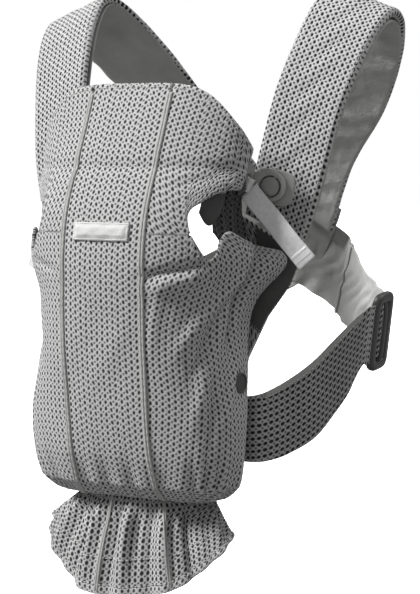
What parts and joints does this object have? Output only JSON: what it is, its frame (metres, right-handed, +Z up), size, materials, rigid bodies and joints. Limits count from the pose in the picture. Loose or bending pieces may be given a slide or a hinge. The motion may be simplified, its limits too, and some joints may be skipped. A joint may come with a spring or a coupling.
{
  "type": "soft baby carrier",
  "caption": "Soft front baby carrier in open spacer mesh: padded front panel with folding head support and skirt, crossed shoulder straps, chest clips and side sliders.",
  "frame": {"origin": "midway between the undersides of the two shoulder straps, where the wearer's shoulders carry it", "axes": "+Z up, +Y from the baby towards the wearer's back, +X to the right in a view from the front"},
  "size_m": [0.405, 0.3988, 0.5966],
  "materials": {
    "mesh_fabric": "open knitted spacer mesh",
    "satin_lining": "smooth satin weave",
    "facing_fabric": "smooth dark facing",
    "webbing": "flat woven webbing",
    "label_fabric": "plain woven patch",
    "foam": "open foam filling",
    "clip_plastic": "moulded satin",
    "dark_plastic": "moulded satin",
    "snap_metal": "plated"
  },
  "bodies": {
    "harness": {"inner_panel": "mesh_fabric", "neckline_binding": "facing_fabric", "side_facing_left": "facing_fabric", "side_facing_right": "facing_fabric", "shoulder_strap_left": "mesh_fabric", "shoulder_strap_right": "mesh_fabric", "strap_lining_left": "satin_lining", "strap_lining_right": "satin_lining", "back_strap_left": "satin_lining", "back_strap_right": "satin_lining", "side_strap_left": "mesh_fabric", "side_strap_right": "mesh_fabric", "side_binding_left": "webbing", "side_binding_right": "webbing", "clip_base_left": "clip_plastic", "clip_base_right": "clip_plastic"},
    "front_panel": {"front_panel_center": "mesh_fabric", "front_panel_side_left": "mesh_fabric", "front_panel_side_right": "mesh_fabric", "seat_floor": "mesh_fabric", "seam_strip_left": "mesh_fabric", "seam_strip_right": "mesh_fabric", "front_lining": "satin_lining", "label_patch": "label_fabric", "elastic_band_left": "webbing", "elastic_band_right": "webbing", "snap_cap_left": "dark_plastic", "snap_cap_right": "dark_plastic", "snap_socket_left": "snap_metal", "snap_socket_right": "snap_metal"},
    "head_support": {"head_support": "mesh_fabric", "head_cushion": "foam", "head_seam_strip_left": "mesh_fabric", "head_seam_strip_right": "mesh_fabric"},
    "skirt": {"skirt": "mesh_fabric", "skirt_hem": "mesh_fabric"},
    "button_left": {"press_button_left": "clip_plastic"},
    "button_right": {"press_button_right": "clip_plastic"},
    "clip_left": {"clip_plate_left": "clip_plastic", "ladder_lock_left": "clip_plastic"},
    "clip_right": {"clip_plate_right": "clip_plastic", "ladder_lock_right": "clip_plastic"},
    "tab_left": {"pull_tab_left": "webbing"},
    "tab_right": {"pull_tab_right": "webbing"},
    "slider_left": {"slider_left": "dark_plastic"},
    "slider_right": {"slider_right": "dark_plastic"}
  },
  "joints": [
    {"name": "front_panel_open", "type": "hinge", "parent": "harness", "child": "front_panel", "pos_m": [0, -0.1065, -0.462], "axis": [1, 0, 0], "range_deg": [0, 80]},
    {"name": "head_support_fold", "type": "hinge", "parent": "front_panel", "child": "head_support", "pos_m": [0, -0.1842, -0.1492], "axis": [1, 0, 0], "range_deg": [0, 150]},
    {"name": "skirt_lift", "type": "hinge", "parent": "front_panel", "child": "skirt", "pos_m": [0, -0.161, -0.469], "axis": [-1, 0, 0], "range_deg": [0, 60]},
    {"name": "button_left_press", "type": "slide", "parent": "harness", "child": "button_left", "axis": [0.2077, 0.9771, -0.0469], "range_m": [0, 0.0025], "stiffness_N_per_m": 500},
    {"name": "button_right_press", "type": "slide", "parent": "harness", "child": "button_right", "axis": [-0.2077, 0.9771, -0.0469], "range_m": [0, 0.0025], "stiffness_N_per_m": 500},
    {"name": "clip_left_release", "type": "slide", "parent": "front_panel", "child": "clip_left", "axis": [-0.2077, -0.9771, 0.0469], "range_m": [0, 0.0075]},
    {"name": "clip_right_release", "type": "slide", "parent": "front_panel", "child": "clip_right", "axis": [0.2077, -0.9771, 0.0469], "range_m": [0, 0.0075]},
    {"name": "pull_tab_left_lift", "type": "hinge", "parent": "clip_left", "child": "tab_left", "pos_m": [-0.10494, -0.11455, -0.16533], "axis": [-0.8896, 0.2086, 0.4063], "range_deg": [0, 35]},
    {"name": "pull_tab_right_lift", "type": "hinge", "parent": "clip_right", "child": "tab_right", "pos_m": [0.10494, -0.11455, -0.16533], "axis": [-0.7318, -0.187, -0.6553], "range_deg": [0, 35]},
    {"name": "slider_left_adjust", "type": "slide", "parent": "harness", "child": "slider_left", "axis": [0, -0.9929, -0.1191], "range_m": [-0.006, 0.006]},
    {"name": "slider_right_adjust", "type": "slide", "parent": "harness", "child": "slider_right", "axis": [0, -0.9929, -0.1191], "range_m": [-0.006, 0.006]}
  ]
}
